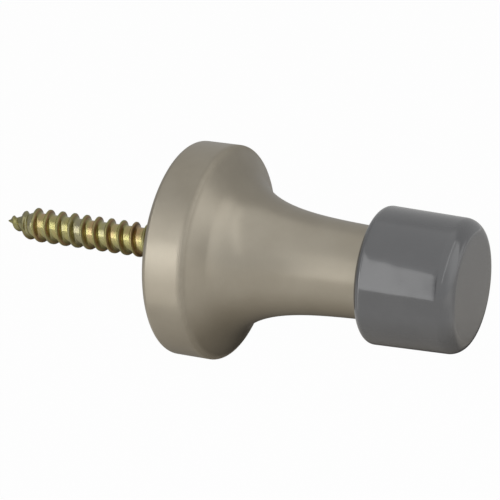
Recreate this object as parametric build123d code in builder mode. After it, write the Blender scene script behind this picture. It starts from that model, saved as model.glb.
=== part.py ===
from build123d import *

import os
from math import atan, cos, degrees, radians, sin, tan

# A baseboard door stop in three pieces: a trumpet-shaped casting, a rubber tip pressed over
# its nose, and a wood-thread stud fixed in its back. Lengths are in millimetres.
# The origin is the centre of the face that meets the wall. +X runs out of the wall along the
# axis to the tip, and +Z is up, so the stud's point lies at the most negative X.

# The casting's outside
base_diameter = 38.0
rim_thickness = 7.8  # from the wall to where the flank leaves the rim
rim_back_round = 1.0
rim_front_round = 0.9
flank_angle = 60.0  # slope of the straight flank against the axis
flank_length = 4.6
flare_pull = 7.4  # how strongly the flare holds the flank's direction before it turns
neck_pull = 10.4  # how strongly it holds the neck's direction at the other end
neck_length = 35.7  # from the wall to the shoulder under the rubber tip
neck_diameter = 15.9  # at the shoulder
neck_taper_angle = 3.0
shoulder_round = 0.3

# The casting's back: a ring land and a central boss meet the wall, with a relief between
land_inner_diameter = 31.0
boss_diameter = 13.0
relief_depth = 1.2
relief_draft_angle = 20.0  # how far the relief's two walls lean open

# The headed spigot on the nose that holds the rubber tip
spigot_diameter = 11.0
spigot_length = 10.5
spigot_head_diameter = 14.0
spigot_head_length = 1.8
spigot_lead_in = 1.6  # length of the taper in front of the head
spigot_undercut = 1.0  # length of the slope behind the head

# The rubber tip
tip_back_diameter = 23.9
tip_front_diameter = 22.9
tip_length = 17.1
tip_back_round = 1.35
tip_front_round = 2.8
tip_fit_clearance = 0.05  # between the spigot and the socket, all round
tip_end_clearance = 0.3  # between the spigot's end and the socket's floor

# The stud: a coarse wood thread outside, and a plain seat inside the casting
stud_length = 37.6  # from the wall to the point
thread_crest_diameter = 6.2
thread_root_diameter = 4.46
thread_pitch = 2.54
ridge_root_width = 1.4
ridge_crest_width = 0.22
point_length = 5.4  # length of the gimlet point
point_diameter = 0.24  # the small blunt end of the point
point_ridge_start = 0.8  # from the very point to the first trace of the ridge
point_ridge_scale = 0.55  # size of the ridge there, against the full ridge
thread_end_gap = 0.2  # between the end of the ridge and the seat's shoulder
thread_phase = 68.3  # degrees by which the stud is turned about its axis
seat_diameter = 6.35
seat_depth = 14.0  # from the wall to the end of the seat
seat_shoulder = 1.4  # from the wall to where the seat starts
seat_chamfer = 0.6
seat_clearance = 0.05  # between the seat and its hole, all round
mouth_diameter = 8.2  # countersink that clears the end of the thread

# Worked out from the sizes above
base_radius = base_diameter / 2
neck_radius = neck_diameter / 2
crest_radius = thread_crest_diameter / 2
root_radius = thread_root_diameter / 2
ridge_height = crest_radius - root_radius
point_end = point_length - stud_length
point_slope = (root_radius - point_diameter / 2) / point_length
ridge_end = seat_shoulder - ridge_root_width / 2 - thread_end_gap
ridge_sink = ridge_height / 4  # how deep the ridge is bedded in the core
ridge_overlap = thread_pitch / 8  # how far the two lengths of ridge run into each other


def along(angle, length):
    """A step of the given length at the given angle to the axis, falling towards it."""
    return Vector(length * cos(radians(angle)), -length * sin(radians(angle)))


def spigot_outline(clearance, end_clearance):
    """Half-section of the spigot, or of the socket over it, grown by the clearances."""
    stem = spigot_diameter / 2 + clearance
    head = spigot_head_diameter / 2 + clearance
    end = neck_length + spigot_length + end_clearance
    head_front = neck_length + spigot_length - spigot_lead_in + clearance
    head_back = head_front - spigot_head_length - 2 * clearance
    return [
        (neck_length, 0),
        (neck_length, stem),
        (head_back - spigot_undercut, stem),
        (head_back, head),
        (head_front, head),
        (end, stem),
        (end, 0),
    ]


# The casting: rim, flare and neck in one revolved profile
with BuildPart() as body:
    rim_corner = Vector(rim_thickness, base_radius)
    flank_end = rim_corner + along(flank_angle, flank_length)
    shoulder_corner = Vector(neck_length, neck_radius)
    with BuildSketch(Plane.XZ):
        with BuildLine():
            Polyline((0, 0), (0, base_radius), rim_corner, flank_end)
            Bezier(
                flank_end,
                flank_end + along(flank_angle, flare_pull),
                shoulder_corner - along(neck_taper_angle, neck_pull),
                shoulder_corner,
            )
            Polyline(shoulder_corner, (neck_length, 0), (0, 0))
        make_face()
    revolve(axis=Axis.X)

    # the rim's two rounded corners, which are its widest circles
    rim_edges = body.edges().filter_by(GeomType.CIRCLE).group_by(SortBy.RADIUS)[-1].sort_by(Axis.X)
    fillet(rim_edges[0], radius=rim_back_round)
    rim_edges = body.edges().filter_by(GeomType.CIRCLE).group_by(SortBy.RADIUS)[-1].sort_by(Axis.X)
    fillet(rim_edges[-1], radius=rim_front_round)

    # the edge of the shoulder that the rubber tip sits against, at the far end of the neck
    shoulder_edge = body.edges().filter_by(GeomType.CIRCLE).sort_by(Axis.X)[-1]
    fillet(shoulder_edge, radius=shoulder_round)

    # the relief between the land and the boss, with walls that lean open as a casting's do
    relief_lean = relief_depth * tan(radians(relief_draft_angle))
    with BuildSketch(Plane.XZ):
        Polygon(
            (0, land_inner_diameter / 2),
            (relief_depth, land_inner_diameter / 2 - relief_lean),
            (relief_depth, boss_diameter / 2 + relief_lean),
            (0, boss_diameter / 2),
            align=None,
        )
    revolve(axis=Axis.X, mode=Mode.SUBTRACT)

    # the spigot, with its head, lead-in and undercut
    with BuildSketch(Plane.XZ):
        Polygon(*spigot_outline(0, 0), align=None)
    revolve(axis=Axis.X)

    # the stud's blind hole, with the countersink at its mouth
    hole_radius = seat_diameter / 2 + seat_clearance
    with BuildSketch(Plane.XZ):
        Polygon(
            (0, 0),
            (0, mouth_diameter / 2),
            (seat_shoulder, hole_radius),
            (seat_depth, hole_radius),
            (seat_depth, 0),
            align=None,
        )
    revolve(axis=Axis.X, mode=Mode.SUBTRACT)

body.part.label = "body"


# The rubber tip: a tapered, round-edged plug with a socket moulded to the spigot
with BuildPart() as rubber_tip:
    tip_face = neck_length + tip_length
    with BuildSketch(Plane.XZ):
        Polygon(
            (neck_length, 0),
            (neck_length, tip_back_diameter / 2),
            (tip_face, tip_front_diameter / 2),
            (tip_face, 0),
            align=None,
        )
    revolve(axis=Axis.X)
    tip_corners = rubber_tip.edges().filter_by(GeomType.CIRCLE).sort_by(Axis.X)
    fillet(tip_corners[0], radius=tip_back_round)
    fillet(tip_corners[-1], radius=tip_front_round)

    with BuildSketch(Plane.XZ):
        Polygon(*spigot_outline(tip_fit_clearance, tip_end_clearance), align=None)
    revolve(axis=Axis.X, mode=Mode.SUBTRACT)

rubber_tip.part.label = "rubber_tip"


def ridge_helix(start, end, start_radius, end_radius):
    """A right-handed helix of the thread's pitch about the axis, from one x to another."""
    cone_angle = degrees(atan((end_radius - start_radius) / (end - start)))
    helix = Helix(
        pitch=thread_pitch / cos(radians(cone_angle)),
        height=end - start,
        radius=start_radius,
        center=(start, 0, 0),
        direction=(1, 0, 0),
        cone_angle=cone_angle,
        mode=Mode.PRIVATE,
    )
    # one turn for each pitch from the point's end, so that separate lengths line up, and half
    # a turn so that the ridge leaves the point opposite to the plane that the core is drawn in
    turns = (start - point_end) / thread_pitch + 0.5
    return helix.rotate(Axis.X, 360 * turns + thread_phase)


def ridge_section(path, position, scale):
    """The ridge's trapezoid across its path, standing on the core and bedded a little in it."""
    place = path @ position
    outward = Vector(0, place.Y, place.Z)
    flank_slope = (ridge_root_width - ridge_crest_width) / 2 / ridge_height
    bed_width = ridge_root_width / 2 + ridge_sink * flank_slope
    crest = scale * ridge_height
    with BuildSketch(Plane(origin=place, x_dir=outward, z_dir=path % position)) as section:
        Polygon(
            (-scale * ridge_sink, -scale * bed_width),
            (-scale * ridge_sink, scale * bed_width),
            (crest, scale * ridge_crest_width / 2),
            (crest, -scale * ridge_crest_width / 2),
            align=None,
        )
    return section.sketch


# The stud: point, core and seat turned as one, then the ridge wound round them
with BuildPart() as wood_screw:
    seat_radius = seat_diameter / 2
    with BuildSketch(Plane.XZ.rotated((thread_phase, 0, 0))):
        Polygon(
            (-stud_length, 0),
            (-stud_length, point_diameter / 2),
            (point_end, root_radius),
            (seat_shoulder, root_radius),
            (seat_shoulder, seat_radius),
            (seat_depth - seat_chamfer, seat_radius),
            (seat_depth, seat_radius - seat_chamfer),
            (seat_depth, 0),
            align=None,
        )
    revolve(axis=Axis.X)

    # the full ridge on the cylinder
    thread_path = ridge_helix(point_end - ridge_overlap, ridge_end, root_radius, root_radius)
    sweep(sections=ridge_section(thread_path, 0, 1), path=thread_path, is_frenet=True)

    # the ridge that grows out of the point
    point_path = ridge_helix(
        point_ridge_start - stud_length,
        point_end,
        point_diameter / 2 + point_ridge_start * point_slope,
        root_radius,
    )
    point_sections = [ridge_section(point_path, 0, point_ridge_scale), ridge_section(point_path, 1, 1)]
    sweep(sections=point_sections, path=point_path, is_frenet=True, multisection=True)

wood_screw.part.label = "wood_screw"


os.makedirs("parts", exist_ok=True)
export_step(body.part, "parts/body.step")
export_step(rubber_tip.part, "parts/rubber_tip.step")
export_step(wood_screw.part, "parts/wood_screw.step")
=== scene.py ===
import logging
from dataclasses import dataclass
from enum import Enum
from math import cos, pi, radians, sin, sqrt, tan
from typing import Iterable, Mapping, Optional, Sequence, Union

import bmesh
import bpy
import numpy as np
from mathutils import Matrix, Vector


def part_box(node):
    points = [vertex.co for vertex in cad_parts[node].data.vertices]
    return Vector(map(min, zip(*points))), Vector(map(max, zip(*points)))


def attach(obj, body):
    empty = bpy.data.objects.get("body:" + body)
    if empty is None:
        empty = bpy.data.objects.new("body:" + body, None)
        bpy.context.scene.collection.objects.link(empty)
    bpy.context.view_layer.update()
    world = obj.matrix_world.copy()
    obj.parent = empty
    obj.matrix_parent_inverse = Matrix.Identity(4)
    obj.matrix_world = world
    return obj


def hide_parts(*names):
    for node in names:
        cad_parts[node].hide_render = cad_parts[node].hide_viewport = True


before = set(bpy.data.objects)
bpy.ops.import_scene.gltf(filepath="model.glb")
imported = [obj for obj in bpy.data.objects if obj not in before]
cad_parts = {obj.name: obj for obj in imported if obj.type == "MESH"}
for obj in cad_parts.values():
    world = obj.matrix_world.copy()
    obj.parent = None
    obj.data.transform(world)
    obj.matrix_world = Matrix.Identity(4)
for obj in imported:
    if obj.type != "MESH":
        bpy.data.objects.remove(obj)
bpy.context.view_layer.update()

MM = 0.001
LOG = logging.getLogger("door_stop")

Colour = tuple[float, float, float]
Pair = tuple[float, float]
Triple = tuple[float, float, float]
Shell = tuple[np.ndarray, np.ndarray]
Operand = Union["Value", float]

WHITE: Colour = (1.0, 1.0, 1.0)
TINY = 1e-6  # metres or radians that count as nothing
ARC_STEPS = 4  # fewest steps of an arc


class Node(str, Enum):
    """The kinds of shader node that the finishes and the studio use."""

    COORDINATES = "ShaderNodeTexCoord"
    SEPARATE = "ShaderNodeSeparateXYZ"
    COMBINE = "ShaderNodeCombineXYZ"
    MATH = "ShaderNodeMath"
    VECTOR_MATH = "ShaderNodeVectorMath"
    NOISE = "ShaderNodeTexNoise"
    RAMP = "ShaderNodeValToRGB"
    MIX = "ShaderNodeMix"
    BUMP = "ShaderNodeBump"
    LIGHT_PATH = "ShaderNodeLightPath"
    PRINCIPLED = "ShaderNodeBsdfPrincipled"
    DIFFUSE = "ShaderNodeBsdfDiffuse"
    EMISSION = "ShaderNodeEmission"
    BACKGROUND = "ShaderNodeBackground"
    MIX_SHADER = "ShaderNodeMixShader"
    MATERIAL_OUTPUT = "ShaderNodeOutputMaterial"
    WORLD_OUTPUT = "ShaderNodeOutputWorld"


@dataclass(frozen=True)
class Value:
    """A node's output socket, on which Python's operators add Math nodes."""

    bench: "Bench"
    socket: bpy.types.NodeSocket

    def __add__(self, other: Operand) -> "Value":
        """Sum of the two."""
        return self.bench.math("ADD", self, other)

    __radd__ = __add__

    def __sub__(self, other: Operand) -> "Value":
        """This less the other."""
        return self.bench.math("SUBTRACT", self, other)

    def __rsub__(self, other: Operand) -> "Value":
        """The other less this."""
        return self.bench.math("SUBTRACT", other, self)

    def __mul__(self, other: Operand) -> "Value":
        """Product of the two."""
        return self.bench.math("MULTIPLY", self, other)

    __rmul__ = __mul__

    def __truediv__(self, other: Operand) -> "Value":
        """This over the other."""
        return self.bench.math("DIVIDE", self, other)

    def __rtruediv__(self, other: Operand) -> "Value":
        """The other over this."""
        return self.bench.math("DIVIDE", other, self)

    def root(self) -> "Value":
        """Square root."""
        return self.bench.math("SQRT", self)

    def most(self, other: Operand) -> "Value":
        """The larger of the two."""
        return self.bench.math("MAXIMUM", self, other)

    def least(self, other: Operand) -> "Value":
        """The smaller of the two."""
        return self.bench.math("MINIMUM", self, other)

    def rise(self, low: float, high: float) -> "Value":
        """Smooth step t * t * (3 - 2 t).

        Here t is the share of the way from low to high, held to 0..1.

        Args:
            low: Value where the step starts.
            high: Value where the step ends. It may be under low, and the step then falls.

        Returns:
            The step's value.
        """
        share = ((self - low) * (1 / (high - low))).most(0.0).least(1.0)
        return share * share * (3.0 - share * 2.0)


class Bench:
    """A node tree that is being put together."""

    def __init__(self, tree: bpy.types.NodeTree) -> None:
        """Empties the tree, which is a material's or the world's."""
        self.tree = tree
        tree.nodes.clear()

    def node(
        self,
        kind: Node,
        inputs: Optional[Mapping[Union[str, int], object]] = None,
        settings: Optional[Mapping[str, object]] = None,
    ) -> bpy.types.Node:
        """Adds one node.

        Args:
            kind: Kind of node.
            inputs: Value, colour, shader or number for each input, by name or number.
            settings: Properties, which are set before anything is linked. The key stops holds the
                places and colours of a ramp.

        Returns:
            The node.
        """
        made = self.tree.nodes.new(kind.value)
        for name, setting in (settings or {}).items():
            if name == "stops":
                self.set_stops(made, setting)
            else:
                setattr(made, name, setting)
        for name, given in (inputs or {}).items():
            target = made.inputs[name]
            if isinstance(given, Value):
                self.tree.links.new(given.socket, target)
            elif isinstance(given, tuple) and target.type == "RGBA":
                target.default_value = (*given, 1.0)
            else:
                target.default_value = given
        return made

    @staticmethod
    def set_stops(made: bpy.types.Node, stops: Sequence[tuple[float, Colour]]) -> None:
        """Gives a colour ramp its stops.

        Args:
            made: The ramp's node.
            stops: Place and colour of each stop, in rising order.
        """
        elements = made.color_ramp.elements
        while len(elements) < len(stops):
            elements.new(1.0)
        for element, (place, colour) in zip(elements, stops):
            element.position = place
            element.color = (*colour, 1.0)

    def out(self, made: bpy.types.Node, name: Union[str, int] = 0) -> Value:
        """One output of a node, ready for expressions."""
        return Value(self, made.outputs[name])

    def math(self, operation: str, *operands: Operand) -> Value:
        """One Math node on the operands."""
        return self.out(self.node(Node.MATH, dict(enumerate(operands)), {"operation": operation}))

    def blend(self, share: Operand, first: object, second: object) -> Value:
        """Colour between two, by the share of the second."""
        made = self.node(Node.MIX, {0: share, 6: first, 7: second}, {"data_type": "RGBA"})
        return self.out(made, 2)

    def tint(self, colour: object, strength: Operand) -> Value:
        """A colour times a number, through Vector Math."""
        made = self.node(Node.VECTOR_MATH, {0: colour, "Scale": strength}, {"operation": "SCALE"})
        return self.out(made)

    def ramp(self, place: Value, stops: Sequence[tuple[float, Colour]]) -> Value:
        """Colour that a ramp gives at a place."""
        return self.out(self.node(Node.RAMP, {"Fac": place}, {"stops": stops}))

    def point(self) -> tuple[Value, Value, Value, Value]:
        """The shaded point in millimetres.

        Returns:
            Its x, y and z, and its distance from the axis, which is the root of y * y + z * z.
        """
        coordinates = self.out(self.node(Node.COORDINATES), "Object")
        parts = self.node(Node.SEPARATE, {0: coordinates})
        x, y, z = (self.out(parts, index) * (1 / MM) for index in range(3))
        return x, y, z, (y * y + z * z).root()

    def place(self, x: Operand, y: Operand, z: Operand) -> Value:
        """A vector from its three parts."""
        return self.out(self.node(Node.COMBINE, {0: x, 1: y, 2: z}))

    @staticmethod
    def spot(across: Value, along: Value, centre: Pair, radii: Pair = (1.0, 1.0)) -> Value:
        """The root of u * u + v * v, with u and v the offsets from a centre over the radii."""
        u = (across - centre[0]) * (1 / radii[0])
        v = (along - centre[1]) * (1 / radii[1])
        return (u * u + v * v).root()

    def noise(self, where: Value, scale: float, detail: float, roughness: float) -> Value:
        """Smooth noise about 0.5, with detail finer layers, each weaker by the roughness."""
        sizes = {"Vector": where, "Scale": scale, "Detail": detail, "Roughness": roughness}
        return self.out(self.node(Node.NOISE, sizes, {"noise_dimensions": "3D"}), "Fac")

    def shine(self, strength: Operand, hue: object = WHITE) -> bpy.types.Node:
        """A shader that glows evenly to all sides."""
        return self.node(Node.EMISSION, {"Color": hue, "Strength": strength})

    def seen_directly(self) -> Value:
        """1 for a ray from the camera, a mirror or glass, and 0 for one that lights something."""
        path = self.node(Node.LIGHT_PATH)
        camera, glossy, through = (
            self.out(path, name)
            for name in ("Is Camera Ray", "Is Glossy Ray", "Is Transmission Ray")
        )
        return camera.most(glossy).most(through)

    def surface(self, shader: bpy.types.Node) -> None:
        """Puts a shader on the surface of the material or of the world."""
        kind = Node.WORLD_OUTPUT if shader.type == "BACKGROUND" else Node.MATERIAL_OUTPUT
        self.node(kind, {"Surface": self.out(shader)})


def new_material(name: str) -> tuple[bpy.types.Material, Bench]:
    """An empty node material and its bench."""
    material = bpy.data.materials.new(name)
    material.use_nodes = True
    return material, Bench(material.node_tree)


@dataclass(frozen=True)
class Finish:
    """What the object's finishes share.

    Lengths are in millimetres, and each scale is a number of features in a millimetre.
    """

    roughness: float
    relief: float
    bump_share: float = 0.5

    def cover(self, bench: Bench, look: Mapping[str, object], height: Value) -> None:
        """Puts a Principled shader on the surface, with the relief as its bump.

        Args:
            bench: Bench of the material.
            look: Inputs of the shader.
            height: Height of the relief, from 0 to 1.
        """
        sizes = {"Height": height, "Distance": self.relief * MM, "Strength": self.bump_share}
        normal = bench.out(bench.node(Node.BUMP, sizes))
        bench.surface(bench.node(Node.PRINCIPLED, {**look, "Normal": normal}))


@dataclass(frozen=True)
class SatinNickel(Finish):
    """Satin nickel plate: fine grain round the axis, a cloudy tone and rubbed edges on the rim."""

    base: Colour = (0.51, 0.464, 0.378)
    dark: Colour = (0.465, 0.42, 0.338)
    rubbed: Colour = (0.6, 0.556, 0.47)
    rub_share: float = 0.15
    roughness: float = 0.3
    corner_roughness: float = 0.22
    grain_length: float = 1.4
    grain_width: float = 0.035
    grain_lean: float = 0.37
    cloud_scale: float = 0.11
    fine_scale: float = 14.0
    rub_scale: float = 0.9
    relief: float = 0.0015

    def material(self, rim_thickness: float, rim_radius: float) -> bpy.types.Material:
        """Makes the finish.

        Args:
            rim_thickness: Distance of the rim's front edge from the wall, in millimetres.
            rim_radius: Radius of the rim's edges, in millimetres.

        Returns:
            The material.
        """
        material, bench = new_material("satin_nickel_finish")
        x, y, z, radius = bench.point()
        where = bench.place(x, y, z)
        # the grain runs round the axis: its point moves slowly with the angle and fast across it
        around = bench.place(
            (x - radius * self.grain_lean) * (1 / self.grain_width),
            y / radius.most(0.1) * (rim_radius / self.grain_length),
            z / radius.most(0.1) * (rim_radius / self.grain_length),
        )
        grain = bench.noise(around, 1.0, 3.0, 0.6)
        fine = bench.noise(where, self.fine_scale, 2.0, 0.5)
        cloud = bench.noise(where, self.cloud_scale, 3.0, 0.55)
        # distances from the rim's front and back edges, and what lies near them
        front = bench.spot(x, radius, (rim_thickness, rim_radius))
        back = bench.spot(x, radius, (0.0, rim_radius))
        edge = front.least(back).rise(1.1, 0.25)
        rubbed = edge * bench.noise(where, self.rub_scale, 4.0, 0.6).rise(0.35, 0.65)
        # near the rim's front edge the plate is rougher, and its colour is darkened as painted
        # shade
        matt_and_painted_shade = front.rise(1.3, 0.35)
        tone = bench.blend(cloud.rise(0.3, 0.7), self.dark, self.base)
        tone = bench.blend(rubbed * self.rub_share, tone, self.rubbed)
        # painted shade: the colour is a little darker along the rim's front edge
        tone = bench.tint(tone, 0.93 + grain * 0.14 - matt_and_painted_shade * 0.03)
        rough = self.roughness + (grain - 0.5) * 0.09 + (cloud - 0.5) * 0.05 - rubbed * 0.02
        rough = rough + matt_and_painted_shade * self.corner_roughness
        look = {"Base Color": tone, "Metallic": 1.0, "Roughness": rough}
        self.cover(bench, look, grain * 0.7 + fine * 0.3)
        return material


@dataclass(frozen=True)
class GreyRubber(Finish):
    """Moulded grey rubber with a glossy skin: slow waves, fine pores and a faintly scuffed face."""

    base: Colour = (0.078, 0.08, 0.085)
    pale: Colour = (0.097, 0.098, 0.102)
    roughness: float = 0.12
    index: float = 1.6
    skin_roughness: float = 0.04
    skin_index: float = 1.5
    cloud_scale: float = 0.16
    wave_scale: float = 0.22
    scuff_scale: float = 0.5
    pore_scale: float = 9.0
    relief: float = 0.1

    def material(self, face: float, face_radius: float) -> bpy.types.Material:
        """Makes the finish.

        Args:
            face: Distance of the striking face from the wall, in millimetres.
            face_radius: Radius of the flat part of that face, in millimetres.

        Returns:
            The material.
        """
        material, bench = new_material("grey_rubber_finish")
        x, y, z, radius = bench.point()
        where = bench.place(x, y, z)
        cloud = bench.noise(where, self.cloud_scale, 3.0, 0.5)
        pores = bench.noise(where, self.pore_scale, 3.0, 0.6)
        waves = bench.noise(where, self.wave_scale, 1.0, 0.4)
        # the flat face that the door strikes
        struck = x.rise(face - 0.6, face - 0.1) * radius.rise(face_radius, face_radius * 0.4)
        scuff = struck * bench.noise(where, self.scuff_scale, 2.0, 0.5).rise(0.4, 0.75)
        tone = bench.blend(cloud.rise(0.35, 0.7) * 0.45 + scuff * 0.2, self.base, self.pale)
        tone = bench.tint(tone, 0.96 + pores * 0.08)
        rough = self.roughness + (pores - 0.5) * 0.06 + struck * 0.05 + scuff * 0.06
        look = {
            "Base Color": tone,
            "Roughness": rough,
            "IOR": self.index,
            "Specular IOR Level": 1.0,
            "Coat Weight": 1.0,
            "Coat Roughness": self.skin_roughness,
            "Coat IOR": self.skin_index,
        }
        self.cover(bench, look, waves * 0.9 + pores * 0.006)
        return material


@dataclass(frozen=True)
class YellowZinc(Finish):
    """Yellow zinc: a film whose hue drifts along the stud, with painted shade that browns and
    darkens it with the depth in the thread.

    The drift's scale is a number of features in one pitch.
    """

    hues: tuple[tuple[float, Colour], ...] = (
        (0.0, (0.24, 0.2, 0.14)),
        (0.2, (0.38, 0.35, 0.25)),
        (0.36, (0.45, 0.42, 0.23)),
        (0.5, (0.49, 0.46, 0.19)),
        (0.62, (0.55, 0.44, 0.21)),
        (0.74, (0.56, 0.37, 0.19)),
        (0.88, (0.35, 0.22, 0.1)),
        (1.0, (0.22, 0.15, 0.08)),
    )
    roughness: float = 0.14
    flank_hue_and_shade: float = 0.25
    flank_roughness: float = 0.2
    drift_scale: float = 0.62
    drift_across: float = 0.12
    mottle_scale: float = 1.6
    speck_scale: float = 8.0
    relief: float = 0.02

    def material(self, core: float, crest: float, pitch: float) -> bpy.types.Material:
        """Makes the finish.

        Args:
            core: Radius at the root of the thread, in millimetres.
            crest: Radius at its crest, in millimetres.
            pitch: Pitch of the thread, in millimetres.

        Returns:
            The material.
        """
        material, bench = new_material("yellow_zinc_finish")
        x, y, z, radius = bench.point()
        where = bench.place(x, y, z)
        slow = bench.place(x * (1 / pitch), y * self.drift_across, z * self.drift_across)
        drift = bench.noise(slow, self.drift_scale, 2.0, 0.5)
        mottle = bench.noise(where, self.mottle_scale, 3.0, 0.6)
        specks = bench.noise(where, self.speck_scale, 2.0, 0.6)
        # where the point lies in the thread: 0 at the core and 1 at the crest
        height = (radius - core) * (1 / (crest - core))
        foot = height.rise(0.02, 0.22) * height.rise(0.8, 0.4)
        flank = height.rise(0.28, 0.6)
        top = height.rise(0.7, 0.95)
        tip = height.rise(0.0, -0.4)
        slope = flank * (1.0 - top)
        # painted shade: on the flanks the film shifts towards its darker, browner hues
        film = 0.5 + (drift - 0.5) * 1.4 + (mottle - 0.5) * 0.3 + slope * self.flank_hue_and_shade
        tone = bench.ramp(film.most(0.0).least(1.0), self.hues)
        # painted shade: darker at the thread's foot, on its flanks, at its crests and over the
        # point
        shade = 1.0 - foot * 0.3 - slope * 0.15 - top * 0.2 - tip * 0.2
        tone = bench.tint(tone, (0.86 + specks * 0.28) * shade)
        rough = self.roughness + (specks - 0.5) * 0.12 + flank * self.flank_roughness
        look = {"Base Color": tone, "Metallic": 1.0, "Roughness": rough}
        self.cover(bench, look, mottle * 0.6 + specks * 0.4)
        return material


def rounded(corners: Sequence[Triple], spacing: float = 0.12) -> np.ndarray:
    """An outline whose corners are arcs.

    An arc of radius R in a corner that turns by T touches both sides at R * tan(T / 2) from the
    corner, and its points lie on the circle about the meeting point of the two normals there.

    Args:
        corners: x, distance from the axis, and radius of each corner. The two ends have radius 0.
        spacing: Largest distance between two points on an arc.

    Returns:
        Points of the outline, as rows of x and distance from the axis.
    """
    points = np.array([corner[:2] for corner in corners], float)
    runs = [points[:1]]
    for before, corner, after, (_, _, radius) in zip(points, points[1:], points[2:], corners[1:]):
        into = (corner - before) / np.hypot(*(corner - before))
        out = (after - corner) / np.hypot(*(after - corner))
        turn = np.arccos(np.clip(into @ out, -1, 1))
        if radius == 0 or turn < TINY:
            runs.append(corner[None])
            continue
        side = np.sign(into[0] * out[1] - into[1] * out[0])
        normal = side * np.array([-into[1], into[0]])
        start = corner - into * radius * tan(turn / 2)
        steps = max(ARC_STEPS, int(np.ceil(radius * turn / spacing)))
        angle = np.linspace(0, turn, steps + 1)[:, None]
        runs.append(start + radius * (np.sin(angle) * into + (1 - np.cos(angle)) * normal))
    runs.append(points[-1:])
    return np.concatenate(runs)


def bezier(controls: np.ndarray, count: int) -> np.ndarray:
    """A cubic curve: the controls weighted by (1-t)^3, 3t(1-t)^2, 3t^2(1-t) and t^3.

    Args:
        controls: The four control points, as rows.
        count: Number of points.

    Returns:
        Points of the curve.
    """
    t = np.linspace(0, 1, count)[:, None]
    weights = [(1 - t) ** 3, 3 * t * (1 - t) ** 2, 3 * t**2 * (1 - t), t**3]
    return np.concatenate(weights, axis=1) @ controls


def divided(outline: np.ndarray, longest: float) -> np.ndarray:
    """The same outline with its long runs divided evenly.

    Args:
        outline: Points of the outline.
        longest: Largest distance between two points.

    Returns:
        Points of the divided outline.
    """
    runs = []
    for start, end in zip(outline, outline[1:]):
        steps = max(1, int(np.ceil(np.hypot(*(end - start)) / longest)))
        share = np.arange(steps)[:, None] / steps
        runs.append(start + (end - start) * share)
    return np.concatenate([*runs, outline[-1:]])


def grid_faces(rows: int, columns: int, closed: bool) -> np.ndarray:
    """Four-cornered faces of a grid of points that is numbered row by row.

    Args:
        rows: Number of rows.
        columns: Number of columns.
        closed: Whether the last column joins the first.

    Returns:
        Point numbers of each face, as rows of four.
    """
    row, column = np.meshgrid(np.arange(rows - 1), np.arange(columns - (not closed)), indexing="ij")
    following = (column + 1) % columns
    corners = [(row, column), (row, following), (row + 1, following), (row + 1, column)]
    return np.stack([r * columns + c for r, c in corners], axis=-1).reshape(-1, 4)


def turned(outline: np.ndarray, angles: np.ndarray) -> Shell:
    """A surface of revolution: (x, r cos a, r sin a) for each outline point (x, r) and angle a.

    Args:
        outline: Points of the outline, as rows of x and distance from the axis.
        angles: Angles of one full turn, the last short of the first.

    Returns:
        Points and faces.
    """
    x, radius = outline[:, :1], outline[:, 1:]
    flat = [x + 0 * angles, radius * np.cos(angles), radius * np.sin(angles)]
    points = np.stack(flat, axis=-1).reshape(-1, 3)
    return points, grid_faces(len(outline), len(angles), True)


def full_turn(count: int, start: float = 0.0) -> np.ndarray:
    """Even angles round the axis."""
    return start + np.arange(count) * (2 * pi / count)


def add_object(name: str, data: bpy.types.ID) -> bpy.types.Object:
    """A new object in the scene."""
    added = bpy.data.objects.new(name, data)
    bpy.context.scene.collection.objects.link(added)
    return added


def make_piece(name: str, shells: Iterable[Shell], crease: float = 35.0) -> bpy.types.Object:
    """One closed piece from surfaces that share their edge points.

    Args:
        name: Name of the piece.
        shells: Points in millimetres and faces of each surface.
        crease: Angle in degrees past which an edge stays sharp.

    Returns:
        The piece, at the origin, with its faces outwards.
    """
    points, faces, count = [], [], 0
    for shell_points, shell_faces in shells:
        points.append(shell_points)
        faces.append(shell_faces + count)
        count += len(shell_points)
    mesh = bpy.data.meshes.new(name)
    mesh.from_pydata((np.concatenate(points) * MM).tolist(), [], np.concatenate(faces).tolist())
    shape = bmesh.new()
    shape.from_mesh(mesh)
    bmesh.ops.remove_doubles(shape, verts=shape.verts, dist=TINY)
    bmesh.ops.recalc_face_normals(shape, faces=shape.faces)
    shape.to_mesh(mesh)
    shape.free()
    mesh.shade_smooth()
    mesh.set_sharp_from_angle(angle=radians(crease))
    return add_object(name, mesh)


def settle(piece: bpy.types.Object, node: str, finish: bpy.types.Material) -> None:
    """Puts a piece in the place of its CAD node and gives it its finish.

    Args:
        piece: The new piece.
        node: The node that it stands for.
        finish: Material of the piece.
    """
    piece.data.materials.append(finish)
    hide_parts(node)
    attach(piece, "root")
    piece.data.calc_loop_triangles()
    LOG.info("%s: %d triangles, %s", piece.name, len(piece.data.loop_triangles), finish.name)


def node_box(node: str) -> tuple[Vector, Vector]:
    """Lowest and highest corner of a CAD node, in millimetres."""
    low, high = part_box(node)
    return Vector(low) / MM, Vector(high) / MM


@dataclass(frozen=True)
class Spigot:
    """The headed spigot on the casting's nose, which the tip's socket fits. In millimetres."""

    end: float
    radius: float = 5.5
    head_radius: float = 7.0
    head_length: float = 1.8
    head_slope: float = 1.0
    lead_in: float = 1.6

    def corners(self, soft: float, clearance: float = 0.0, gap: float = 0.0) -> list[Triple]:
        """Corners of its outline, or of the socket's, from behind the head to the axis.

        Args:
            soft: Radius of the corners.
            clearance: Room all round.
            gap: Room at the end.

        Returns:
            The corners, as rounded() takes them.
        """
        stem, head = self.radius + clearance, self.head_radius + clearance
        front = self.end - self.lead_in + clearance
        back = front - self.head_length - 2 * clearance
        floor = self.end + gap
        return [
            (back - self.head_slope, stem, 0),
            (back, head, soft),
            (front, head, soft),
            (floor, stem, soft),
            (floor, 0, 0),
        ]


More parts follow.
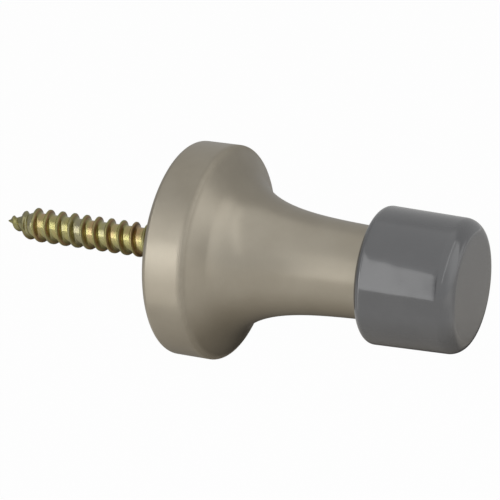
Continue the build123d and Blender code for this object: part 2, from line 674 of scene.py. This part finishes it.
@dataclass
class Casting:
    """The trumpet-shaped casting, turned about X from one closed outline. In millimetres."""

    rim_radius: float
    neck_length: float
    spigot: Spigot
    rim_thickness: float = 7.8
    rim_back_round: float = 1.0
    rim_front_round: float = 0.9
    flank_angle: float = 60.0
    flank_length: float = 4.6
    flare_pull: float = 7.4
    neck_pull: float = 10.4
    neck_radius: float = 7.95
    neck_taper: float = 3.0
    shoulder_round: float = 0.3
    land_radius: float = 15.5
    boss_radius: float = 6.5
    relief_depth: float = 1.2
    relief_lean: float = 0.437
    relief_round: float = 0.25
    spigot_round: float = 0.2
    hole_radius: float = 3.225
    hole_depth: float = 14.0
    hole_round: float = 0.1
    mouth_radius: float = 4.1
    mouth_depth: float = 1.4
    mouth_round: float = 0.15
    flare_points: int = 96
    longest_run: float = 1.2
    around: int = 256

    def back(self) -> np.ndarray:
        """Outline from the end of the stud's hole, over boss, relief and rim, to the flank's end.

        Returns:
            Points of that outline.
        """
        lean, soft = self.relief_lean, self.relief_round
        flank = self.flank_end()
        return rounded(
            [
                (self.hole_depth, 0, 0),
                (self.hole_depth, self.hole_radius, 0),
                (self.mouth_depth, self.hole_radius, self.hole_round),
                (0, self.mouth_radius, self.mouth_round),
                (0, self.boss_radius, soft),
                (self.relief_depth, self.boss_radius + lean, soft),
                (self.relief_depth, self.land_radius - lean, soft),
                (0, self.land_radius, soft),
                (0, self.rim_radius, self.rim_back_round),
                (self.rim_thickness, self.rim_radius, self.rim_front_round),
                (flank[0], flank[1], 0),
            ],
            spacing=0.09,
        )

    def flank_end(self) -> np.ndarray:
        """Point where the straight flank turns into the flare."""
        corner = np.array([self.rim_thickness, self.rim_radius])
        return corner + self.flank_length * self.slope(self.flank_angle)

    @staticmethod
    def slope(angle: float) -> np.ndarray:
        """Unit step that falls towards the axis at an angle in degrees."""
        return np.array([cos(radians(angle)), -sin(radians(angle))])

    def flare(self) -> np.ndarray:
        """The flare and the neck as one cubic curve, held by the flank's and the neck's directions.

        Returns:
            Points of the curve up to the start of the shoulder's rounding.
        """
        start, end = self.flank_end(), np.array([self.neck_length, self.neck_radius])
        pull = self.flare_pull * self.slope(self.flank_angle)
        hold = self.neck_pull * self.slope(self.neck_taper)
        curve = bezier(np.array([start, start + pull, end - hold, end]), self.flare_points)
        return curve[curve[:, 0] < self.neck_length - 3 * self.shoulder_round]

    def nose(self, last: np.ndarray) -> np.ndarray:
        """Outline from the end of the flare over the shoulder and the headed spigot to the axis.

        Args:
            last: Last point of the flare.

        Returns:
            Points of that outline, after the flare's last.
        """
        corners = [
            (last[0], last[1], 0),
            (self.neck_length, self.neck_radius, self.shoulder_round),
            (self.neck_length, self.spigot.radius, self.spigot_round),
            *self.spigot.corners(self.spigot_round),
        ]
        return rounded(corners, spacing=0.1)[1:]

    def build(self) -> bpy.types.Object:
        """Turns the whole outline about the axis."""
        flare = self.flare()
        outline = np.concatenate([self.back()[:-1], flare, self.nose(flare[-1])])
        outline = divided(outline, self.longest_run)
        return make_piece("satin_casting", [turned(outline, full_turn(self.around))])

    def dress(self, piece: bpy.types.Object, finish: SatinNickel) -> None:
        """Gives the casting its plate."""
        plate = finish.material(self.rim_thickness, self.rim_radius)
        settle(piece, "body", plate)


@dataclass
class RubberTip:
    """The rubber tip: a tapered, round-edged plug turned about X. Sizes are in millimetres."""

    back: float
    face: float
    spigot: Spigot
    back_radius: float = 11.95
    face_radius: float = 11.45
    back_round: float = 1.35
    face_round: float = 2.8
    lip_round: float = 0.25
    clearance: float = 0.05
    end_clearance: float = 0.3
    longest_run: float = 1.0
    around: int = 256

    def build(self) -> bpy.types.Object:
        """Turns the outline that runs from the socket's floor round the back to the face."""
        socket = self.spigot.corners(0, self.clearance, self.end_clearance)
        corners = [
            *reversed(socket),
            (self.back, self.spigot.radius + self.clearance, self.lip_round),
            (self.back, self.back_radius, self.back_round),
            (self.face, self.face_radius, self.face_round),
            (self.face, 0, 0),
        ]
        outline = divided(rounded(corners, spacing=0.11), self.longest_run)
        return make_piece("rubber_cap", [turned(outline, full_turn(self.around))])

    def dress(self, piece: bpy.types.Object, finish: GreyRubber) -> None:
        """Gives the tip its skin."""
        skin = finish.material(self.face, self.face_radius - self.face_round)
        settle(piece, "rubber_tip", skin)


@dataclass
class WoodScrew:
    """The stud: one right-handed ridge wound round a core and a gimlet point, and a plain seat.

    Sizes are in millimetres.
    """

    point: float
    seat_end: float
    seat_radius: float = 3.175
    seat_start: float = 1.4
    seat_chamfer: float = 0.6
    seat_round: float = 0.15
    crest_radius: float = 3.1
    core_radius: float = 2.23
    pitch: float = 2.54
    ridge_foot: float = 1.4
    ridge_top: float = 0.22
    ridge_ease: float = 0.55
    ridge_end: float = 0.5
    fade_past: float = 0.4
    fade_length: float = 0.6
    point_length: float = 5.4
    point_radius: float = 0.12
    point_bend: float = 0.25
    first_ridge: float = 0.55
    bare_share: float = 0.03
    swell_share: float = 0.17
    phase: float = 222.0
    foot_margin: float = 0.15
    per_turn: int = 80
    top_points: int = 3
    flank_points: int = 9

    def ridge(self, across: np.ndarray) -> np.ndarray:
        """Height at places across the ridge, 0 to 1: a trapezoid eased by a smooth step."""
        foot, top = self.ridge_foot / 2, self.ridge_top / 2
        share = np.clip((foot - np.abs(across)) / (foot - top), 0, 1)
        return share + self.ridge_ease * (share**2 * (3 - 2 * share) - share)

    def core(self, x: np.ndarray) -> np.ndarray:
        """Radius of the core: the cone of the point and a cylinder, met in a soft bend.

        With the bend k, g is 0.5 + (cylinder - cone) / (2 k), held to 0..1, and the radius is
        cone * g + cylinder * (1 - g) - k / 2 * g * (1 - g).

        Args:
            x: Places along the axis.

        Returns:
            Radius at each place.
        """
        cone = self.point_radius + (self.core_radius - self.point_radius) * (
            (x - self.point) / self.point_length
        )
        gap = np.clip(0.5 + (self.core_radius - cone) / (2 * self.point_bend), 0, 1)
        mixed = cone * gap + self.core_radius * (1 - gap)
        return mixed - self.point_bend / 2 * gap * (1 - gap)

    def growth(self, x: np.ndarray) -> np.ndarray:
        """Share of the full ridge: it swells over the point and dies out before the seat.

        Args:
            x: Places of the ridge's middle.

        Returns:
            Share at each place.
        """
        along = (x - self.point) / self.point_length
        start = np.clip((along - self.bare_share) / self.swell_share, 0, 1)
        stop = np.clip((self.ridge_end + self.fade_past - x) / self.fade_length, 0, 1)
        swell = self.first_ridge + (1 - self.first_ridge) * np.clip(along, 0, 1)
        return swell * start**2 * (3 - 2 * start) * stop**2 * (3 - 2 * stop)

    def across(self) -> np.ndarray:
        """Places across the strip that is wound round the axis, from edge to edge."""
        foot, top = self.ridge_foot / 2, self.ridge_top / 2
        crest = np.linspace(0, top, self.top_points)
        flank = np.linspace(top, foot, self.flank_points)[1:]
        half = np.concatenate([crest, flank, [foot + self.foot_margin, self.pitch / 2]])
        return np.concatenate([-half[:0:-1], half])[None]

    def thread(self) -> tuple[np.ndarray, np.ndarray, np.ndarray]:
        """The threaded surface as one strip wound round the axis.

        The strip is as wide as the pitch and its middle carries the ridge. At the turn a and the
        place w across it, x is start + pitch * a / (2 pi) + w, held between the point and the seat,
        and the radius is the core's at x plus the ridge's height at w times its growth. Each turn's
        edge is the next turn's other edge, so the merged strip is closed.

        Returns:
            Points, faces, and the angles of one turn.
        """
        start = self.point - self.pitch
        turns = int(np.ceil((self.seat_start - start) / self.pitch))
        turn = np.arange(turns * self.per_turn + 1)[:, None] * (2 * pi / self.per_turn)
        across = self.across()
        middle = start + self.pitch * (turn / (2 * pi) + 0.5)
        x = np.clip(middle + across, self.point, self.seat_start)
        ridge = self.ridge(across) * self.growth(middle)
        radius = self.core(x) + (self.crest_radius - self.core_radius) * ridge
        radius = np.where(x <= self.point, self.point_radius, radius)
        radius = np.where(x >= self.seat_start, self.core_radius, radius)
        first = 2 * pi * (start / self.pitch + 0.5) + radians(self.phase)
        angle = turn + first + 0 * across
        points = np.stack([x, radius * np.cos(angle), radius * np.sin(angle)], axis=-1)
        faces = grid_faces(*x.shape, False)
        return points.reshape(-1, 3), faces, full_turn(self.per_turn, first)

    def build(self) -> bpy.types.Object:
        """Joins the wound strip with the point's end and the plain seat."""
        points, faces, angles = self.thread()
        end = np.array([[self.point, 0], [self.point, self.point_radius]])
        seat = rounded(
            [
                (self.seat_start, self.core_radius, 0),
                (self.seat_start, self.seat_radius, self.seat_round),
                (self.seat_end - self.seat_chamfer, self.seat_radius, 0),
                (self.seat_end, self.seat_radius - self.seat_chamfer, 0),
                (self.seat_end, 0, 0),
            ]
        )
        shells = [(points, faces), turned(end, angles), turned(seat, angles)]
        return make_piece("zinc_screw", shells)

    def dress(self, piece: bpy.types.Object, finish: YellowZinc) -> None:
        """Gives the stud its passivated plate."""
        plate = finish.material(self.core_radius, self.crest_radius, self.pitch)
        settle(piece, "wood_screw", plate)


@dataclass(frozen=True)
class Softbox:
    """A rectangular lamp, given by how it is seen from the object.

    Its middle line runs from one direction to another, each an azimuth and an elevation in degrees.
    Azimuth 0 is +Y and 90 is +X. Its breadth across that line is in degrees too.
    """

    name: str
    first: Pair
    last: Pair
    breadth: float
    brightness: float
    distance: float

    @staticmethod
    def direction(azimuth: float, elevation: float) -> Vector:
        """Unit vector in a direction given in degrees."""
        flat = cos(radians(elevation))
        across = (sin(radians(azimuth)) * flat, cos(radians(azimuth)) * flat)
        return Vector((*across, sin(radians(elevation))))

    def build(self, centre: Vector) -> None:
        """Adds the lamp, whose power in watts is its brightness times pi times its area.

        Args:
            centre: Point that the lamp faces.
        """
        first, last = self.direction(*self.first), self.direction(*self.last)
        middle = (first + last).normalized()
        along = (last - first).normalized()
        lamp = bpy.data.lights.new(self.name, "AREA")
        lamp.shape = "RECTANGLE"
        lamp.size = 2 * self.distance * tan(first.angle(last) / 2)
        lamp.size_y = 2 * self.distance * tan(radians(self.breadth / 2))
        lamp.energy = self.brightness * pi * lamp.size * lamp.size_y
        holder = add_object(self.name, lamp)
        turn = Matrix((along, middle.cross(along), middle)).transposed().to_4x4()
        holder.matrix_world = Matrix.Translation(centre + middle * self.distance) @ turn
        holder.visible_camera = False
        LOG.info("%s: %.2f by %.2f m", self.name, lamp.size, lamp.size_y)


@dataclass(frozen=True)
class GlowCard:
    """A glowing card in front of the object, bounded by how the object's round surfaces mirror it.

    A surface that runs round X mirrors all directions with one part s along X at one place of the
    axis. So each side of the card lies at one s, from a lower to an upper elevation in degrees.
    """

    name: str
    right: Triple
    left: Triple
    brightness: float
    distance: float = 0.75
    columns: int = 9
    rows: int = 17

    def shell(self, centre: Vector) -> Shell:
        """The card: centre + distance * (s, -root(cos(e)^2 - s^2), sin(e)).

        Here s is the part along X and e the elevation.

        Args:
            centre: Point that the card bends round.

        Returns:
            Points in metres and faces.
        """
        steps = np.linspace(0, 1, self.columns), np.linspace(0, 1, self.rows)
        share, level = np.meshgrid(*steps, indexing="ij")
        right, left = np.array(self.right), np.array(self.left)
        part, low, high = np.moveaxis(right + (left - right) * share[..., None], -1, 0)
        rise = np.radians(low + (high - low) * level)
        front = -np.sqrt(np.cos(rise) ** 2 - part**2)
        points = np.stack([part, front, np.sin(rise)], axis=-1).reshape(-1, 3)
        faces = grid_faces(self.columns, self.rows, False)
        return np.array(centre) + self.distance * points, faces

    def finish(self) -> bpy.types.Material:
        """Its plain glow."""
        material, bench = new_material(self.name)
        bench.surface(bench.shine(self.brightness))
        return material


@dataclass(frozen=True)
class PaleFloor:
    """The floor's cloth. What is seen of it is nearly plain white, with a trace of the shadow."""

    tone: float = 0.96
    glow: float = 0.97

    def material(self) -> bpy.types.Material:
        """Mixes plain cloth with a white glow."""
        material, bench = new_material("pale_floor")
        cloth = bench.node(Node.DIFFUSE, {"Color": (self.tone,) * 3})
        share = bench.seen_directly() * self.glow
        shaders = {0: share, 1: bench.out(cloth), 2: bench.out(bench.shine(1.0))}
        bench.surface(bench.node(Node.MIX_SHADER, shaders))
        return material


@dataclass(frozen=True)
class TableCard:
    """A grey card on the floor, with a warm dim pool behind the object. In millimetres."""

    level: float = 0.58
    hue: Colour = (1.0, 0.985, 0.96)
    pool_hue: Colour = (1.0, 0.93, 0.82)
    pool_centre: Pair = (80.0, 375.0)
    pool_radii: Pair = (395.0, 585.0)
    pool_dim: float = 0.4
    core_centre: Pair = (-60.0, 480.0)
    core_dim: float = 0.16
    behind_dim: float = 0.24
    left_dim: float = 0.16
    patch_gain: float = 1.35
    corner_centre: Pair = (230.0, 410.0)
    corner_gain: float = 0.15
    right_gain: float = 0.18

    def material(self, height: float) -> bpy.types.Material:
        """Makes the glow.

        Args:
            height: Height of the floor over the object's axis, which is negative.

        Returns:
            The material.
        """
        material, bench = new_material("grey_card")
        x, y, _, _ = bench.point()
        pool = bench.spot(x, y, self.pool_centre, self.pool_radii).rise(1.15, 0.35)
        core = bench.spot(x, y, self.core_centre).rise(420.0, 60.0)
        corner = bench.spot(x, y, self.corner_centre).rise(210.0, 80.0)
        behind = y.rise(80.0, 660.0)
        left = x.rise(-160.0, -660.0) * y.rise(-160.0, 80.0)
        right = x.rise(350.0, 1400.0) * y.rise(-1500.0, -300.0)
        # a bright patch in front on the left, under the glowing cards and bounded as they are
        reach = (x * x + y * y + height * height).root()
        part, down = x / reach, height / reach
        patch = part.rise(-0.46, -0.44) * part.rise(-0.38, -0.41) * y.rise(0.0, -50.0)
        patch = patch * down.rise(-0.72, -0.6)
        gain = patch * self.patch_gain + corner * self.corner_gain + right * self.right_gain
        shade = pool * self.pool_dim + core * self.core_dim
        shade = shade.most(behind * self.behind_dim).most(left * self.left_dim)
        hue = bench.blend(pool, self.hue, self.pool_hue)
        bench.surface(bench.shine(self.level + gain - shade, hue))
        return material


@dataclass(frozen=True)
class TentCloth:
    """The tent's cloth: brightest overhead, even in front, and dimmer behind the object.

    Places on it are the parts of their direction along X (east), Y (north) and Z (up).
    """

    level: float = 0.58
    overhead_gain: float = 0.09
    panel_normal: Pair = (0.469, -0.883)
    panel_run: Pair = (0.998, 0.07)
    panel_dim: float = 0.21
    left_dim: float = 0.22
    flag_centre: Pair = (-0.27, 0.23)
    flag_dim: float = 0.47
    glow_gain: float = 0.34
    sill_gain: float = 0.3

    def material(self, radius: float) -> bpy.types.Material:
        """Makes the glow.

        Args:
            radius: Radius of the tent, in metres.

        Returns:
            The material.
        """
        material, bench = new_material("tent_cloth")
        east, north, up = (part * (MM / radius) for part in bench.point()[:3])
        # a dim panel behind the object, with a firm edge on the right and soft ones elsewhere
        past = east * self.panel_normal[0] + north * self.panel_normal[1]
        along = east * self.panel_run[0] + north * self.panel_run[1]
        panel = past.rise(0.05, -0.05) * along.rise(-0.75, -0.1) * up.rise(0.95, 0.82)
        left = east.rise(-0.1, -0.7)
        # a dark flag in front on the left
        flag = bench.spot(east, up, self.flag_centre).rise(0.4, 0.12)
        flag = flag * north.rise(0.0, -0.5) * east.rise(-0.08, -0.2)
        # a soft glow on the right, whose one firm edge is the panel's, and a low one behind it
        glow = past.rise(-0.01, 0.08) * north.rise(-0.75, 0.1)
        glow = glow * up.rise(-0.25, 0.25) * up.rise(0.85, 0.6)
        sill = up.rise(0.3, 0.12) * east.rise(0.62, 0.8) * north.rise(0.35, 0.5)
        gain = up * self.overhead_gain + glow * self.glow_gain + sill * self.sill_gain
        shade = (panel * self.panel_dim).most(left * self.left_dim) + flag * self.flag_dim
        bench.surface(bench.shine(self.level + gain - shade))
        return material


@dataclass(frozen=True)
class Studio:
    """A pale floor in a light tent, with a strip lamp and glowing cards. Lengths are in metres."""

    floor_height: float = -0.25
    floor_radius: float = 2.8
    tent_radius: float = 3.0
    card_lift: float = 0.001
    eye: float = 1e-4  # the small hole in the middle of the floor and of the roof
    rings: int = 24
    floor_spokes: int = 64
    tent_spokes: int = 48
    world_light: float = 0.5
    centre: Triple = (0.02, 0.0, 0.0)
    paper: PaleFloor = PaleFloor()
    table: TableCard = TableCard()
    cloth: TentCloth = TentCloth()
    lamp: Softbox = Softbox("high_strip", (66.0, 58.0), (152.0, 18.0), 6.0, 0.5, 0.85)
    cards: tuple[GlowCard, ...] = (
        GlowCard("front_strip", (-0.2175, -10.3, 28.0), (-0.33, -7.0, 50.0), 1.4),
        GlowCard("edge_card", (-0.33, -7.0, 36.0), (-0.4, -10.0, 20.0), 0.7),
        GlowCard("rim_card", (-0.405, -16.0, 17.0), (-0.455, -16.0, 17.0), 3.1),
        GlowCard("stud_card", (-0.485, -2.0, 26.0), (-0.55, -2.0, 52.0), 2.6),
    )

    @staticmethod
    def stand(name: str, shell: Shell, finish: bpy.types.Material) -> bpy.types.Object:
        """Adds something that isn't part of the object.

        Args:
            name: Its name.
            shell: Points in metres and faces.
            finish: Its material.

        Returns:
            The new object.
        """
        mesh = bpy.data.meshes.new(name)
        mesh.from_pydata(shell[0].tolist(), [], shell[1].tolist())
        mesh.shade_smooth()
        mesh.materials.append(finish)
        stood = add_object(name, mesh)
        return stood

    def disc(self, height: float) -> Shell:
        """A flat disc: (r cos a, r sin a, height) for r up to the floor's radius.

        Args:
            height: Its height.

        Returns:
            Points and faces.
        """
        radius = self.floor_radius * np.linspace(0, 1, self.rings)[:, None] ** 2 + self.eye
        angles = full_turn(self.floor_spokes)
        flat = [radius * np.cos(angles), radius * np.sin(angles), height + 0 * radius * angles]
        faces = grid_faces(self.rings, self.floor_spokes, True)
        return np.stack(flat, axis=-1).reshape(-1, 3), faces

    def dome(self) -> Shell:
        """The tent: radius * (cos e cos a, cos e sin a, sin e) for e from the floor to overhead.

        Returns:
            Points and faces, which point inwards.
        """
        foot = np.arcsin(self.floor_height / self.tent_radius)
        rise = np.linspace(foot, pi / 2 - self.eye, self.rings)[:, None]
        angles, level = full_turn(self.tent_spokes), np.cos(rise)
        flat = [level * np.cos(angles), level * np.sin(angles), np.sin(rise) + 0 * angles]
        faces = grid_faces(self.rings, self.tent_spokes, True)[:, ::-1]
        return self.tent_radius * np.stack(flat, axis=-1).reshape(-1, 3), faces

    def floor(self) -> None:
        """The floor, and over it a card that only mirrors see."""
        self.stand("pale_floor", self.disc(self.floor_height), self.paper.material())
        finish = self.table.material(self.floor_height / MM)
        card = self.stand("grey_card", self.disc(self.floor_height + self.card_lift), finish)
        card.visible_camera = card.visible_diffuse = card.visible_shadow = False
        card.visible_transmission = False

    def world(self) -> None:
        """Plain white all round wherever it is seen directly, and dim where it only lights."""
        world = bpy.data.worlds.new("white_world")
        world.use_nodes = True
        bench = Bench(world.node_tree)
        strength = self.world_light + bench.seen_directly() * (1 - self.world_light)
        bench.surface(bench.node(Node.BACKGROUND, {"Color": WHITE, "Strength": strength}))
        bpy.context.scene.world = world

    def build(self) -> None:
        """Sets up the floor, the tent, the world, the lamp and the cards."""
        self.floor()
        tent = self.stand("tent_cloth", self.dome(), self.cloth.material(self.tent_radius))
        tent.visible_camera = False
        self.world()
        centre = Vector(self.centre)
        self.lamp.build(centre)
        for card in self.cards:
            stood = self.stand(card.name, card.shell(centre), card.finish())
            stood.visible_camera = False
        bpy.context.scene.view_settings.view_transform = "Standard"


@dataclass(frozen=True)
class PhotoCamera:
    """The camera of the photograph, for a square picture of 500 pixels.

    The object's origin lies at the given place in the camera's own axes, which are right, down
    and forward, in millimetres. Swing is the angle by which the object's axis comes out of the
    picture's plane and dip the angle by which it falls, in radians.
    """

    focal: float = 2084.6
    origin: Triple = (-10.4997, -0.5216, 368.956)
    swing: float = 0.42493
    dip: float = 0.13055
    picture: int = 500
    sensor: float = 36.0
    clip: Pair = (0.01, 20.0)

    def axes(self) -> tuple[Vector, Vector, Vector]:
        """The camera's right, down and forward directions in the object's frame.

        The axis lies across the picture by cos(swing) cos(dip), which is the cosine of the
        camera's azimuth, and the camera has no roll, so its right is level.

        Returns:
            The three unit vectors.
        """
        level = cos(self.swing) * cos(self.dip)
        depth = sqrt(1 - level * level)
        tilt = np.arctan2(tan(self.dip), sin(self.swing))
        right = Vector((level, depth, 0))
        forward = Vector((-depth * cos(tilt), level * cos(tilt), -sin(tilt)))
        return right, forward.cross(right), forward

    def build(self) -> None:
        """Creates the camera and makes it the scene's."""
        right, down, forward = self.axes()
        x, y, z = self.origin
        data = bpy.data.cameras.new("photo_camera")
        data.sensor_width = self.sensor
        data.lens = self.focal / self.picture * self.sensor
        data.clip_start, data.clip_end = self.clip
        holder = add_object("photo_camera", data)
        turn = Matrix((right, -down, -forward)).transposed().to_4x4()
        place = -(x * right + y * down + z * forward) * MM
        holder.matrix_world = Matrix.Translation(place) @ turn
        bpy.context.scene.camera = holder
        LOG.info("camera: lens %.1f mm at %s", data.lens, tuple(round(part, 4) for part in place))


def main() -> None:
    """Builds the pieces and the studio."""
    logging.basicConfig(level=logging.INFO, format="%(message)s")
    _, body_high = node_box("body")
    tip_low, tip_high = node_box("rubber_tip")
    screw_low, screw_high = node_box("wood_screw")
    spigot = Spigot(end=body_high.x)
    casting = Casting(rim_radius=body_high.z, neck_length=tip_low.x, spigot=spigot)
    tip = RubberTip(back=tip_low.x, face=tip_high.x, spigot=spigot)
    screw = WoodScrew(point=screw_low.x, seat_end=screw_high.x)
    casting.dress(casting.build(), SatinNickel())
    tip.dress(tip.build(), GreyRubber())
    screw.dress(screw.build(), YellowZinc())
    Studio().build()
    PhotoCamera().build()


if __name__ == "__main__":
    main()
